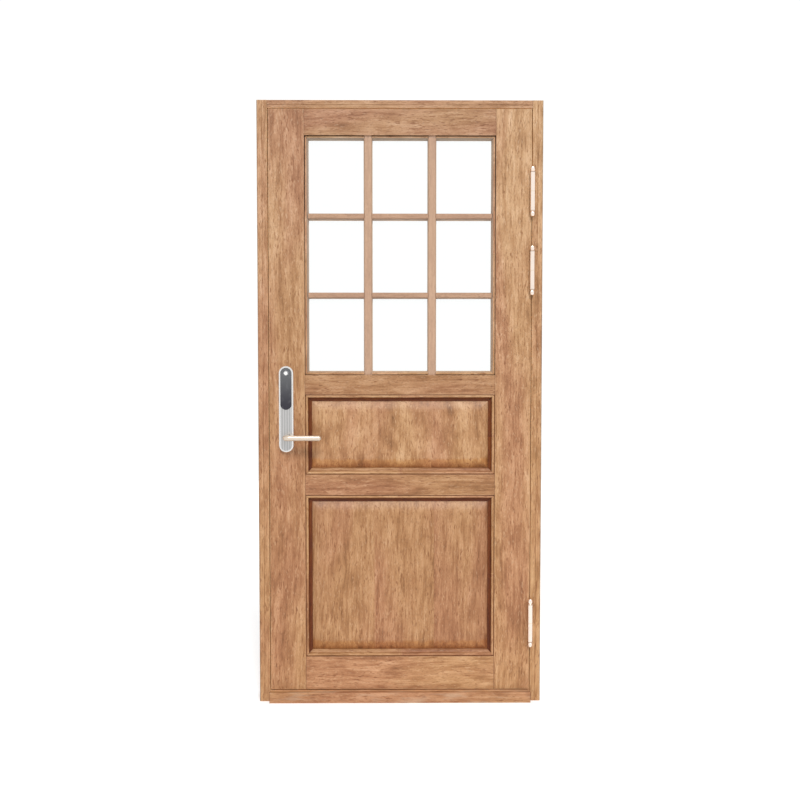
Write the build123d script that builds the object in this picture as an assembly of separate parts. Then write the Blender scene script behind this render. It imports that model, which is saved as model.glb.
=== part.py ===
from build123d import *
from math import cos, radians, sin, sqrt
import os

# Door frame, seen from outside. X runs right, Y runs indoors, Z runs up, and the
# origin is the middle of the threshold's underside, half way through the frame.
FRAME_WIDTH = 990.0
FRAME_HEIGHT = 2100.0
FRAME_DEPTH = 92.0
JAMB_FACE = 36.0
HEAD_FACE = 27.0
STOP_WIDTH = 19.5
THRESHOLD_STOP_HEIGHT = 52.0
QUIRK_INSET = 18.0
QUIRK_WIDTH = 2.0
QUIRK_DEPTH = 1.5
ARRIS = 1.0

# Fixing holes through the jambs, hidden by the closed leaf.
FIXING_RADIUS = 5.0
FIXING_COUNT = 4
FIXING_FROM_END = 210.0
FIXING_FROM_STOP = 20.0

# Threshold between the jambs, with its nose in front of them.
NOSE_PROJECTION = 20.0
NOSE_HEIGHT = 36.0
NOSE_ROUND = 3.0
SILL_HEIGHT = 40.0

# Leaf and the gaps round it.
LEAF_THICKNESS = 54.0
SIDE_GAP = 3.0
TOP_GAP = 3.0
SILL_GAP = 3.0
STOP_GAP = 6.0
STILE_WIDTH = 124.0
TOP_RAIL = 89.0
MIDDLE_RAIL = 68.0
LOCK_RAIL = 72.0
BOTTOM_RAIL = 116.0
GLAZING_HEIGHT = 828.0
UPPER_PANEL_HEIGHT = 281.0

# Rubber weather seal in a kerf in the stops.
SEAL_WIDTH = 9.0
SEAL_PROUD = 1.0
SEAL_STEM = 3.0
SEAL_STEM_DEPTH = 5.0
SEAL_INSET = 4.0

# Planted mouldings: quirk, bead, fillet and cove.
MOULDING_WIDTH = 23.0
MOULDING_QUIRK = 2.5
MOULDING_QUIRK_DEPTH = 3.5
BEAD_WIDTH = 7.0
BEAD_DEPTH = 0.8
COVE_SHOULDER = 1.0
COVE_DEPTH = 13.5
COVE_FOOT = 2.0

# Raised and fielded panels, alike on both faces.
PANEL_TONGUE = 22.0
PANEL_PLAY = 2.0
PANEL_BEVEL = 37.0
BEVEL_EDGE_ANGLE = 8.0
FIELD_DEPTH = 3.0

# Glazing of three lights by three.
LIGHTS = 3
GLAZING_MOULDING = 13.0
GLAZING_MOULDING_RECESS = 6.0
GLAZING_MOULDING_FLAT = 7.0
GLAZING_QUIRK = 1.8
GLAZING_MOULDING_FALL = 6.0
UPRIGHT_BAR = 28.0
CROSS_BAR = 19.0
BAR_RECESS = 5.0
BAR_CHAMFER = 3.5
GLASS_THICKNESS = 8.0
GLASS_BITE = 5.0
GLASS_PLAY = 1.0
BEAD_CHAMFER = 3.0
BEAD_SETBACK = 7.5

# Lift-off hinges with turned finials.
UPPER_HINGE_FROM_TOP = 283.0
MIDDLE_HINGE_BELOW_UPPER = 271.5
LOWER_HINGE_FROM_BOTTOM = 237.5
HINGE_FACE_CLEARANCE = 0.5
KNUCKLE_RADIUS = 8.5
BARREL_LENGTH = 130.0
KNUCKLE_GAP = 1.0
PIN_RADIUS = 4.0
PIN_CLEARANCE = 0.08
PIN_HEADROOM = 6.0
PLATE_HEIGHT = 118.0
PLATE_WIDTH = 30.0
PLATE_THICKNESS = 3.0
FINIAL_LENGTH = 21.0
FINIAL_RING_RADIUS = 9.5
FINIAL_RING_HEIGHT = 2.5
FINIAL_NECK_RADIUS = 6.0
FINIAL_BULB_RADIUS = 7.4

# Lock furniture on the latch stile.
LOCK_INSET = 59.5
SPINDLE_HEIGHT = 936.0
BACKPLATE_HEIGHT = 300.0
BACKPLATE_WIDTH = 50.0
BACKPLATE_THICKNESS = 12.0
BACKPLATE_CHAMFER = 1.5
SPINDLE_FROM_PLATE_END = 52.0
BACKPLATE_RIM = 5.6
READER_HEIGHT = 146.0
READER_THICKNESS = 3.5
READER_PROUD = 1.5
READER_FIT = 0.3
INSERT_PROUD = 0.8
BUTTON_RADIUS = 7.5
BUTTON_RING_RADIUS = 8.8
BUTTON_FROM_TOP = 19.0
BUTTON_PROUD = 1.2
BUTTON_RING_PROUD = 0.5

# Mortise lock and its strike.
LOCK_CASE_HEIGHT = 165.0
LOCK_CASE_DEPTH = 82.0
LOCK_CASE_THICKNESS = 15.0
LOCK_CASE_BELOW_SPINDLE = 45.0
FOREND_HEIGHT = 235.0
FOREND_WIDTH = 22.0
FOREND_THICKNESS = 3.0
STRIKE_HEIGHT = 180.0
STRIKE_WIDTH = 25.0
STRIKE_THICKNESS = 2.5
STRIKE_SLOT_WIDTH = 13.0
STRIKE_SLOT_HEIGHTS = {"latch": 34.0, "bolt": 46.0}
STRIKE_SLOT_SPACING = 72.0

# Lever handles on a square spindle.
SPINDLE_SIZE = 8.0
SPINDLE_HOLE_CLEARANCE = 0.8
SPINDLE_SOCKET = 14.0
LEVER_RADIUS = 9.5
LEVER_REACH = 125.5
LEVER_PROJECTION = 50.0
LEVER_BEND = 14.0
LEVER_BOSS_RADIUS = 8.0
LEVER_BOSS_CLEARANCE = 0.3
LEVER_FACE_CLEARANCE = 0.3

# Faces and edges that the pieces share.
FRONT = -FRAME_DEPTH / 2
BACK = FRAME_DEPTH / 2
LEAF_BACK = FRONT + LEAF_THICKNESS
LEAF_MIDDLE = FRONT + LEAF_THICKNESS / 2
STOP_FACE = LEAF_BACK + STOP_GAP
FRAME_X = FRAME_WIDTH / 2
REBATE_X = FRAME_X - JAMB_FACE
STOP_X = REBATE_X - STOP_WIDTH
REBATE_TOP = FRAME_HEIGHT - HEAD_FACE
STOP_TOP = REBATE_TOP - STOP_WIDTH
LEAF_X = REBATE_X - SIDE_GAP
LEAF_TOP = REBATE_TOP - TOP_GAP
LEAF_BOTTOM = SILL_HEIGHT + SILL_GAP
OPENING_X = LEAF_X - STILE_WIDTH
GLAZING_TOP = LEAF_TOP - TOP_RAIL
GLAZING_BOTTOM = GLAZING_TOP - GLAZING_HEIGHT
UPPER_TOP = GLAZING_BOTTOM - MIDDLE_RAIL
UPPER_BOTTOM = UPPER_TOP - UPPER_PANEL_HEIGHT
LOWER_TOP = UPPER_BOTTOM - LOCK_RAIL
LOWER_BOTTOM = LEAF_BOTTOM + BOTTOM_RAIL
SIGHT_X = OPENING_X - GLAZING_MOULDING
SIGHT_TOP = GLAZING_TOP - GLAZING_MOULDING
SIGHT_BOTTOM = GLAZING_BOTTOM + GLAZING_MOULDING
LIGHT_WIDTH = (2 * SIGHT_X - (LIGHTS - 1) * UPRIGHT_BAR) / LIGHTS
LIGHT_HEIGHT = (SIGHT_TOP - SIGHT_BOTTOM - (LIGHTS - 1) * CROSS_BAR) / LIGHTS
GLASS_FRONT = LEAF_MIDDLE - GLASS_THICKNESS / 2
GLASS_BACK = LEAF_MIDDLE + GLASS_THICKNESS / 2
BAR_FRONT = FRONT + BAR_RECESS
BAR_BACK = LEAF_BACK - BAR_RECESS
WEB_CUT = GLASS_BITE + GLASS_PLAY
FIXING_SPACING = (FRAME_HEIGHT - 2 * FIXING_FROM_END) / (FIXING_COUNT - 1)
HINGE_HEIGHTS = {
    "upper": LEAF_TOP - UPPER_HINGE_FROM_TOP,
    "middle": LEAF_TOP - UPPER_HINGE_FROM_TOP - MIDDLE_HINGE_BELOW_UPPER,
    "lower": LEAF_BOTTOM + LOWER_HINGE_FROM_BOTTOM,
}
HINGE_X = (REBATE_X + LEAF_X) / 2
HINGE_Y = FRONT - HINGE_FACE_CLEARANCE - FINIAL_RING_RADIUS
LOCK_X = LOCK_INSET - LEAF_X
BACKPLATE_MIDDLE = SPINDLE_HEIGHT - SPINDLE_FROM_PLATE_END + BACKPLATE_HEIGHT / 2
READER_WIDTH = BACKPLATE_WIDTH - 2 * BACKPLATE_RIM
RECESS_HEIGHT = BACKPLATE_HEIGHT - 2 * BACKPLATE_RIM
READER_MIDDLE = BACKPLATE_MIDDLE + (RECESS_HEIGHT - READER_HEIGHT) / 2
BUTTON_HEIGHT = READER_MIDDLE + READER_HEIGHT / 2 - BUTTON_FROM_TOP
LOCK_MIDDLE = SPINDLE_HEIGHT - LOCK_CASE_BELOW_SPINDLE + LOCK_CASE_HEIGHT / 2
LEAF_MIRROR = Plane(origin=(0, LEAF_MIDDLE, 0), x_dir=(1, 0, 0), z_dir=(0, 1, 0))


def block(x_range, y_range, z_range):
    """Rectangular block between two corners."""
    sizes = [high - low for low, high in (x_range, y_range, z_range)]
    middles = [(high + low) / 2 for low, high in (x_range, y_range, z_range)]
    return Pos(*middles) * Box(*sizes)


def rod(radius, x, y_range, z):
    """Round rod along Y."""
    length = y_range[1] - y_range[0]
    return Pos(x, (y_range[0] + y_range[1]) / 2, z) * Rot(90, 0, 0) * Cylinder(radius, length)


def jamb(side):
    """Upright frame member, with a quirk on its face and holes for its fixings."""
    x_range = (REBATE_X, FRAME_X)
    body = block(x_range, (FRONT, BACK), (0, FRAME_HEIGHT))
    body = chamfer(body.edges().filter_by(Axis.Z), ARRIS)
    body -= quirk(FRAME_X - QUIRK_INSET, FRAME_HEIGHT)
    for number in range(FIXING_COUNT):
        height = FIXING_FROM_END + number * FIXING_SPACING
        hole = Rot(0, 90, 0) * Cylinder(FIXING_RADIUS, 2 * JAMB_FACE)
        body -= Pos((REBATE_X + FRAME_X) / 2, STOP_FACE - FIXING_FROM_STOP, height) * hole
    return body if side > 0 else mirror(body, about=Plane.YZ)


def quirk(x, height):
    """Upright V groove on the outside face."""
    half = QUIRK_WIDTH / 2
    section = Polyline((x - half, FRONT), (x, FRONT + QUIRK_DEPTH), (x + half, FRONT), close=True)
    return extrude(make_face(section), amount=height)


def hinge_jamb():
    """Right jamb, let in for the hinge plates."""
    body = jamb(1)
    for height in HINGE_HEIGHTS.values():
        body -= plate_block(REBATE_X, REBATE_X + PLATE_THICKNESS, height)
    return body


def latch_jamb():
    """Left jamb, let in for the strike."""
    return jamb(-1) - strike_blank()


def head_jamb():
    """Top frame member between the jambs, with the same quirk."""
    body = block((-REBATE_X, REBATE_X), (FRONT, BACK), (REBATE_TOP, FRAME_HEIGHT))
    body = chamfer(body.edges().filter_by(Axis.X), ARRIS)
    half = QUIRK_WIDTH / 2
    middle = FRAME_HEIGHT - QUIRK_INSET + QUIRK_WIDTH
    section = Polyline((FRONT, middle - half), (FRONT + QUIRK_DEPTH, middle),
                       (FRONT, middle + half), close=True)
    groove = extrude(Plane.YZ.offset(-REBATE_X) * make_face(section), amount=2 * REBATE_X)
    return body - groove


def side_stop(side):
    """Upright stop behind the leaf, with a kerf for the seal."""
    body = block((STOP_X, REBATE_X), (STOP_FACE, BACK), (0, REBATE_TOP))
    body = chamfer(body.edges().filter_by(Axis.Z).sort_by(Axis.X)[:2], ARRIS)
    body -= seal_stems()
    return body if side > 0 else mirror(body, about=Plane.YZ)


def head_stop():
    """Stop above the leaf, between the side stops."""
    body = block((-STOP_X, STOP_X), (STOP_FACE, BACK), (STOP_TOP, REBATE_TOP))
    body = chamfer(body.edges().filter_by(Axis.X).sort_by(Axis.Z)[:2], ARRIS)
    return body - seal_stems()


def seal_loop(width, y_range):
    """Strip of the given width round the two sides and the top of the stops."""
    middle = SEAL_INSET + SEAL_WIDTH / 2
    low = middle - width / 2
    high = middle + width / 2
    outer = block((-STOP_X - high, STOP_X + high), y_range, (SILL_HEIGHT, STOP_TOP + high))
    inner = block((-STOP_X - low, STOP_X + low), y_range, (0, STOP_TOP + low))
    return outer - inner


def seal_stems():
    """Stem of the seal, the size of its kerf."""
    return seal_loop(SEAL_STEM, (STOP_FACE, STOP_FACE + SEAL_STEM_DEPTH))


def frame_seal():
    """Weather seal on the stops, its stem in the kerf."""
    return seal_loop(SEAL_WIDTH, (STOP_FACE - SEAL_PROUD, STOP_FACE)) + seal_stems()


def threshold():
    """Sloping sill between the jambs, with a rounded nose outside."""
    nose = FRONT - NOSE_PROJECTION
    section = Polyline((nose, 0), (nose, NOSE_HEIGHT), (STOP_FACE, SILL_HEIGHT),
                       (STOP_FACE, 0), close=True)
    face = make_face(section)
    rounded = fillet(face.vertices().sort_by(Axis.X)[:2].sort_by(Axis.Y)[-1], NOSE_ROUND)
    return extrude(Plane.YZ.offset(-REBATE_X) * rounded, amount=2 * REBATE_X)


def threshold_stop():
    """Upstand of the sill behind the leaf."""
    body = block((-STOP_X, STOP_X), (STOP_FACE, BACK), (0, THRESHOLD_STOP_HEIGHT))
    top_edges = body.edges().filter_by(Axis.X).sort_by(Axis.Z)[-2:]
    return chamfer(top_edges, ARRIS)


def stile():
    """Plain upright of the leaf on the hinge side."""
    body = block((OPENING_X, LEAF_X), (FRONT, LEAF_BACK), (LEAF_BOTTOM, LEAF_TOP))
    return chamfer(body.edges().filter_by(Axis.Z), ARRIS / 2)


def hinge_stile():
    """Right stile, let in for the hinge plates."""
    body = stile()
    for height in HINGE_HEIGHTS.values():
        body -= plate_block(LEAF_X - PLATE_THICKNESS, LEAF_X, height)
    return body


def latch_stile():
    """Left stile, with the lock's mortise and the spindle's hole."""
    body = mirror(stile(), about=Plane.YZ)
    body -= lock_blank()
    return body - rod(LEVER_BOSS_RADIUS, LOCK_X, (FRONT, LEAF_BACK), SPINDLE_HEIGHT)


def rail(low, high):
    """Cross member of the leaf between the stiles."""
    body = block((-OPENING_X, OPENING_X), (FRONT, LEAF_BACK), (low, high))
    return chamfer(body.edges().filter_by(Axis.Z), ARRIS / 2)


def moulding_outline(width, depth, cove_depth):
    """Section of a moulding: across the opening from its edge, and down from the face."""
    bead_end = MOULDING_QUIRK + BEAD_WIDTH
    cove_start = bead_end + COVE_SHOULDER
    cove_end = width - COVE_FOOT
    bend = cos(radians(45))
    cove_middle = (cove_end - bend * (cove_end - cove_start),
                   -MOULDING_QUIRK_DEPTH - bend * (cove_depth - MOULDING_QUIRK_DEPTH))
    bead_middle = (MOULDING_QUIRK + BEAD_WIDTH / 2, -BEAD_DEPTH)
    foot = Polyline((cove_end, -cove_depth), (width, -cove_depth), (width, -depth), (0, -depth),
                    (0, -MOULDING_QUIRK_DEPTH), (MOULDING_QUIRK, -MOULDING_QUIRK_DEPTH))
    bead = ThreePointArc((MOULDING_QUIRK, -MOULDING_QUIRK_DEPTH), bead_middle,
                         (bead_end, -MOULDING_QUIRK_DEPTH))
    shoulder = Line((bead_end, -MOULDING_QUIRK_DEPTH), (cove_start, -MOULDING_QUIRK_DEPTH))
    cove = ThreePointArc((cove_start, -MOULDING_QUIRK_DEPTH), cove_middle,
                         (cove_end, -cove_depth))
    return make_face([foot, bead, shoulder, cove])


def moulding_strip(corner, inward, along, length, outline, width):
    """One side of a moulding, mitred at both ends."""
    place = Plane(origin=corner, x_dir=inward, z_dir=along)
    mitres = Polyline((0, 0), (length, 0), (length - width, width), (width, width), close=True)
    wedge_plane = Plane(origin=(0, 0, 0), x_dir=(0, 0, 1), z_dir=(0, 1, 0))
    wedge = extrude(wedge_plane * make_face(mitres), amount=LEAF_THICKNESS, both=True)
    return place * (extrude(outline, amount=length) & wedge)


def moulding_ring(low, high, outline, width):
    """Moulding mitred round the outside face of an opening of the leaf."""
    across = 2 * OPENING_X
    upright = high - low
    left, right, up, down = (-1, 0, 0), (1, 0, 0), (0, 0, 1), (0, 0, -1)
    ring = moulding_strip((-OPENING_X, FRONT, low), up, right, across, outline, width)
    ring += moulding_strip((OPENING_X, FRONT, low), left, up, upright, outline, width)
    ring += moulding_strip((OPENING_X, FRONT, high), down, left, across, outline, width)
    return ring + moulding_strip((-OPENING_X, FRONT, high), right, down, upright, outline, width)


def panel_moulding(low, high):
    """Moulding round one panel, on the outside face."""
    depth = (LEAF_THICKNESS - PANEL_TONGUE) / 2
    outline = moulding_outline(MOULDING_WIDTH, depth, COVE_DEPTH)
    return moulding_ring(low, high, outline, MOULDING_WIDTH)


def glazing_moulding():
    """Sunk moulding round the glazing: quirk, flat and bevel, cut for the upright bars."""
    depth = GLASS_FRONT - FRONT
    edge = GLAZING_MOULDING_RECESS + GLAZING_MOULDING_FALL
    section = Polyline((0, -depth), (0, -edge), (GLAZING_QUIRK, -edge),
                       (GLAZING_QUIRK, -GLAZING_MOULDING_RECESS),
                       (GLAZING_MOULDING_FLAT, -GLAZING_MOULDING_RECESS),
                       (GLAZING_MOULDING, -edge), (GLAZING_MOULDING, -depth), close=True)
    ring = moulding_ring(GLAZING_BOTTOM, GLAZING_TOP, make_face(section), GLAZING_MOULDING)
    for number in range(LIGHTS - 1):
        ring -= upright_bar_blank(number)
    return ring


def inside_copy(body):
    """The same piece on the leaf's inside face."""
    return mirror(body, about=LEAF_MIRROR)


def panel_outline(half_size):
    """Section of a panel: tongue, curved bevels and raised fields on both faces."""
    tongue = half_size - PANEL_PLAY
    edge = half_size - MOULDING_WIDTH
    field = edge - PANEL_BEVEL
    low = PANEL_TONGUE / 2
    high = LEAF_THICKNESS / 2 - FIELD_DEPTH
    fall = radians(BEVEL_EDGE_ANGLE)
    quarter = [
        Line((0, high), (field, high)),
        TangentArc((field, high), (edge, low), tangent=(cos(fall), -sin(fall))),
        Polyline((edge, low), (tongue, low), (tongue, 0)),
    ]
    half = quarter + [mirror(line, about=Plane.XZ) for line in quarter]
    return make_face(half + [mirror(line, about=Plane.YZ) for line in half])


def panel(low, high):
    """Raised and fielded panel with mitred bevels."""
    middle = (low + high) / 2
    half_height = (high - low) / 2
    across = extrude(panel_outline(OPENING_X), amount=half_height, both=True)
    upright_plane = Plane(origin=(0, 0, 0), x_dir=(0, 0, 1), z_dir=(1, 0, 0))
    along = extrude(upright_plane * panel_outline(half_height), amount=OPENING_X, both=True)
    return Pos(0, LEAF_MIDDLE, middle) * (across & along)


def light_x(column):
    """Left sight edge of a column of lights."""
    return -SIGHT_X + column * (LIGHT_WIDTH + UPRIGHT_BAR)


def light_z(row):
    """Lower sight edge of a row of lights, from the bottom."""
    return SIGHT_BOTTOM + row * (LIGHT_HEIGHT + CROSS_BAR)


def web_range(low, size, first, last, edge_low, edge_high):
    """Reach of a light behind its sight edges, from web to web or to the opening's edge."""
    start = edge_low if first else low - WEB_CUT
    end = edge_high if last else low + size + WEB_CUT
    return start, end


def light_recess(column, row):
    """X and Z ranges of the rebate that holds one pane."""
    last = LIGHTS - 1
    x_range = web_range(light_x(column), LIGHT_WIDTH, column == 0, column == last,
                        -OPENING_X, OPENING_X)
    z_range = web_range(light_z(row), LIGHT_HEIGHT, row == 0, row == last,
                        GLAZING_BOTTOM, GLAZING_TOP)
    return x_range, z_range


def upright_bar_blank(number):
    """Front part of an upright bar, from rail to rail, before its edges are chamfered."""
    low = light_x(number) + LIGHT_WIDTH
    return block((low, low + UPRIGHT_BAR), (BAR_FRONT, GLASS_FRONT), (GLAZING_BOTTOM, GLAZING_TOP))


def upright_bar(number):
    """Glazing bar from rail to rail, its web between the panes."""
    low = light_x(number) + LIGHT_WIDTH
    high = low + UPRIGHT_BAR
    face = upright_bar_blank(number)
    face = chamfer(face.edges().filter_by(Axis.Z).sort_by(Axis.Y)[:2], BAR_CHAMFER)
    web = block((low + WEB_CUT, high - WEB_CUT), (GLASS_FRONT, BAR_BACK),
                (GLAZING_BOTTOM, GLAZING_TOP))
    return face + web


def cross_bar(number):
    """Row of three short glazing bars between the uprights."""
    low = light_z(number) + LIGHT_HEIGHT
    high = low + CROSS_BAR
    pieces = []
    for column in range(LIGHTS):
        start = light_x(column)
        face = block((start, start + LIGHT_WIDTH), (BAR_FRONT, GLASS_FRONT), (low, high))
        face = chamfer(face.edges().filter_by(Axis.X).sort_by(Axis.Y)[:2], BAR_CHAMFER)
        x_range, _ = light_recess(column, number)
        web = block(x_range, (GLASS_FRONT, BAR_BACK), (low + WEB_CUT, high - WEB_CUT))
        pieces.append(face + web)
    return Compound(children=pieces)


def shrink(limits, play):
    """Range made smaller by the play at both ends."""
    return limits[0] + play, limits[1] - play


def glass_panes():
    """Clear panes, one in each light."""
    panes = []
    for column in range(LIGHTS):
        for row in range(LIGHTS):
            x_range, z_range = light_recess(column, row)
            panes.append(block(shrink(x_range, GLASS_PLAY), (GLASS_FRONT, GLASS_BACK),
                               shrink(z_range, GLASS_PLAY)))
    return Compound(children=panes)


def bead_sight(low, size, place):
    """Range between the beads of a light, wider at the edges of the glazing."""
    start = low - BEAD_SETBACK if place == 0 else low
    end = low + size + BEAD_SETBACK if place == LIGHTS - 1 else low + size
    return start, end


def glazing_beads():
    """Beads that hold each pane from inside, chamfered towards the glass."""
    beads = []
    for column in range(LIGHTS):
        for row in range(LIGHTS):
            x_range, z_range = light_recess(column, row)
            sight = block(bead_sight(light_x(column), LIGHT_WIDTH, column),
                          (GLASS_BACK, BAR_BACK), bead_sight(light_z(row), LIGHT_HEIGHT, row))
            ring = block(x_range, (GLASS_BACK, BAR_BACK), z_range) - sight
            inner = ring.faces().sort_by(Axis.Y)[-1].inner_wires()[0].edges()
            beads.append(chamfer(inner, BEAD_CHAMFER))
    return Compound(children=beads)


def plate_block(x_low, x_high, height):
    """Hinge plate, and the pocket that it is let into."""
    half = PLATE_HEIGHT / 2
    return block((x_low, x_high), (FRONT, FRONT + PLATE_WIDTH), (height - half, height + half))


def finial():
    """Turned tip: ring, neck, bulb and point, upwards from the barrel's end."""
    neck = FINIAL_RING_HEIGHT + (FINIAL_RING_RADIUS - FINIAL_NECK_RADIUS) / 2
    bulb = (FINIAL_LENGTH + neck) / 2
    edge = [
        Polyline((0, FINIAL_LENGTH), (0, 0), (FINIAL_RING_RADIUS, 0),
                 (FINIAL_RING_RADIUS, FINIAL_RING_HEIGHT), (FINIAL_NECK_RADIUS, neck)),
        Spline((FINIAL_NECK_RADIUS, neck), (FINIAL_BULB_RADIUS, bulb), (0, FINIAL_LENGTH),
               tangents=((1, 1), (-1, 0))),
    ]
    return revolve(Plane.XZ * make_face(edge), axis=Axis.Z)


def knuckle(height, side, x_low, x_high):
    """Half of a hinge: knuckle, finial, and plate with its neck. Side 1 is the upper half."""
    reach = BARREL_LENGTH / 2
    near = KNUCKLE_GAP / 2
    barrel = Pos(HINGE_X, HINGE_Y, 0) * Cylinder(KNUCKLE_RADIUS, reach - near)
    z_middle = height + side * (reach + near) / 2
    z_range = (z_middle - (reach - near) / 2, z_middle + (reach - near) / 2)
    tip = finial() if side > 0 else mirror(finial(), about=Plane.XY)
    neck = block((x_low, x_high), (HINGE_Y, FRONT), z_range)
    body = Pos(0, 0, z_middle) * barrel + neck + plate_block(x_low, x_high, height)
    return body + Pos(HINGE_X, HINGE_Y, height + side * reach) * tip


def pin(height, radius):
    """Hinge pin, from the lower knuckle up into the upper one."""
    reach = BARREL_LENGTH / 2
    low = height - reach
    high = height + reach - PIN_HEADROOM
    return Pos(HINGE_X, HINGE_Y, (low + high) / 2) * Cylinder(radius, high - low)


def frame_hinge_half(height):
    """Lower knuckle and pin, on the jamb."""
    return knuckle(height, -1, REBATE_X, REBATE_X + PLATE_THICKNESS) + pin(height, PIN_RADIUS)


def leaf_hinge_half(height):
    """Upper knuckle, bored for the pin, on the leaf."""
    body = knuckle(height, 1, LEAF_X - PLATE_THICKNESS, LEAF_X)
    return body - pin(height, PIN_RADIUS + PIN_CLEARANCE)


def round_ended_plate(width, height, z_middle, y_range):
    """Upright plate with fully rounded ends, at the lock's centre line."""
    outline = Rot(0, 0, 90) * SlotOverall(height, width)
    plane = Plane(origin=(LOCK_X, y_range[1], z_middle), x_dir=(1, 0, 0), z_dir=(0, -1, 0))
    return extrude(plane * outline, amount=y_range[1] - y_range[0])


def backplate():
    """Long plate on the outside face, bored for the lever's boss."""
    outer_face = FRONT - BACKPLATE_THICKNESS
    body = round_ended_plate(BACKPLATE_WIDTH, BACKPLATE_HEIGHT, BACKPLATE_MIDDLE,
                             (outer_face, FRONT))
    body = chamfer(body.faces().sort_by(Axis.Y)[0].edges(), BACKPLATE_CHAMFER)
    bore = LEVER_BOSS_RADIUS + LEVER_BOSS_CLEARANCE
    return body - rod(bore, LOCK_X, (outer_face, FRONT), SPINDLE_HEIGHT)


def reader_floor():
    """Y of the floor of the reader's recess."""
    return FRONT - BACKPLATE_THICKNESS - READER_PROUD + READER_THICKNESS


def outside_backplate():
    """Outside plate, recessed inside its rim for the reader's cover and the insert."""
    recess = round_ended_plate(READER_WIDTH + 2 * READER_FIT, RECESS_HEIGHT + 2 * READER_FIT,
                               BACKPLATE_MIDDLE, (FRONT - BACKPLATE_THICKNESS, reader_floor()))
    return backplate() - recess


def backplate_insert():
    """Steel face below the reader, hollowed at its top to fit round the cover."""
    y_range = (FRONT - BACKPLATE_THICKNESS - INSERT_PROUD, reader_floor())
    body = round_ended_plate(READER_WIDTH, RECESS_HEIGHT, BACKPLATE_MIDDLE, y_range)
    body -= round_ended_plate(READER_WIDTH + 2 * READER_FIT, READER_HEIGHT + 2 * READER_FIT,
                              READER_MIDDLE, y_range)
    lower = body.solids().sort_by(Axis.Z)[0]
    bore = LEVER_BOSS_RADIUS + LEVER_BOSS_CLEARANCE
    return lower - rod(bore, LOCK_X, y_range, SPINDLE_HEIGHT)


def reader_cover():
    """Dark cover of the reader, with a hole for its button."""
    outer_face = FRONT - BACKPLATE_THICKNESS - READER_PROUD
    body = round_ended_plate(READER_WIDTH, READER_HEIGHT, READER_MIDDLE,
                             (outer_face, reader_floor()))
    body = fillet(body.faces().sort_by(Axis.Y)[0].edges(), READER_PROUD / 2)
    hole = BUTTON_RING_RADIUS + READER_FIT
    return body - rod(hole, LOCK_X, (outer_face, reader_floor()), BUTTON_HEIGHT)


def reader_button():
    """Round push button in its ring."""
    cover_face = FRONT - BACKPLATE_THICKNESS - READER_PROUD
    ring = rod(BUTTON_RING_RADIUS, LOCK_X, (cover_face - BUTTON_RING_PROUD, reader_floor()),
               BUTTON_HEIGHT)
    cap = rod(BUTTON_RADIUS, LOCK_X, (cover_face - BUTTON_PROUD, reader_floor()), BUTTON_HEIGHT)
    return ring + cap


def forend_block(thickness):
    """Face plate of the lock, in the leaf's edge."""
    half = FOREND_WIDTH / 2
    return block((-LEAF_X, thickness - LEAF_X), (LEAF_MIDDLE - half, LEAF_MIDDLE + half),
                 (LOCK_MIDDLE - FOREND_HEIGHT / 2, LOCK_MIDDLE + FOREND_HEIGHT / 2))


def lock_blank():
    """Lock case and face plate, the size of their mortise."""
    half = LOCK_CASE_THICKNESS / 2
    case = block((-LEAF_X, LOCK_CASE_DEPTH - LEAF_X), (LEAF_MIDDLE - half, LEAF_MIDDLE + half),
                 (LOCK_MIDDLE - LOCK_CASE_HEIGHT / 2, LOCK_MIDDLE + LOCK_CASE_HEIGHT / 2))
    return case + forend_block(FOREND_THICKNESS)


def lock_case():
    """Mortise lock, with room for the turning spindle."""
    hole = SPINDLE_SIZE / sqrt(2) + SPINDLE_HOLE_CLEARANCE
    return lock_blank() - rod(hole, LOCK_X, (FRONT, LEAF_BACK), SPINDLE_HEIGHT)


def strike_blank():
    """Strike on the latch jamb, the size of its pocket."""
    half = STRIKE_WIDTH / 2
    return block((-REBATE_X - STRIKE_THICKNESS, -REBATE_X),
                 (LEAF_MIDDLE - half, LEAF_MIDDLE + half),
                 (LOCK_MIDDLE - STRIKE_HEIGHT / 2, LOCK_MIDDLE + STRIKE_HEIGHT / 2))


def strike_plate():
    """Strike with slots for the latch and the bolt."""
    body = strike_blank()
    places = {"latch": -STRIKE_SLOT_SPACING / 2, "bolt": STRIKE_SLOT_SPACING / 2}
    for name, height in STRIKE_SLOT_HEIGHTS.items():
        middle = LOCK_MIDDLE + places[name]
        body -= block((-REBATE_X - STRIKE_THICKNESS, -REBATE_X),
                      (LEAF_MIDDLE - STRIKE_SLOT_WIDTH / 2, LEAF_MIDDLE + STRIKE_SLOT_WIDTH / 2),
                      (middle - height / 2, middle + height / 2))
    return body


def outside_lever():
    """Round lever: boss in the backplate, neck, bend and grip with a domed end."""
    start = FRONT - BACKPLATE_THICKNESS - INSERT_PROUD - LEVER_FACE_CLEARANCE
    grip_y = FRONT - LEVER_PROJECTION
    boss = rod(LEVER_BOSS_RADIUS, LOCK_X, (start, FRONT), SPINDLE_HEIGHT)
    corner = (LOCK_X, grip_y, SPINDLE_HEIGHT)
    end = (LOCK_X + LEVER_REACH - LEVER_RADIUS, grip_y, SPINDLE_HEIGHT)
    path = FilletPolyline((LOCK_X, start, SPINDLE_HEIGHT), corner, end, radius=LEVER_BEND)
    section = Plane(origin=(LOCK_X, start, SPINDLE_HEIGHT), z_dir=(0, -1, 0)) * Circle(LEVER_RADIUS)
    grip = sweep(section, path=path)
    return boss + grip + Pos(*end) * Sphere(LEVER_RADIUS) - spindle()


def spindle():
    """Square spindle through the lock, into both levers."""
    half = SPINDLE_SIZE / 2
    reach = SPINDLE_SOCKET
    return block((LOCK_X - half, LOCK_X + half), (FRONT - reach, LEAF_BACK + reach),
                 (SPINDLE_HEIGHT - half, SPINDLE_HEIGHT + half))


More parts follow.
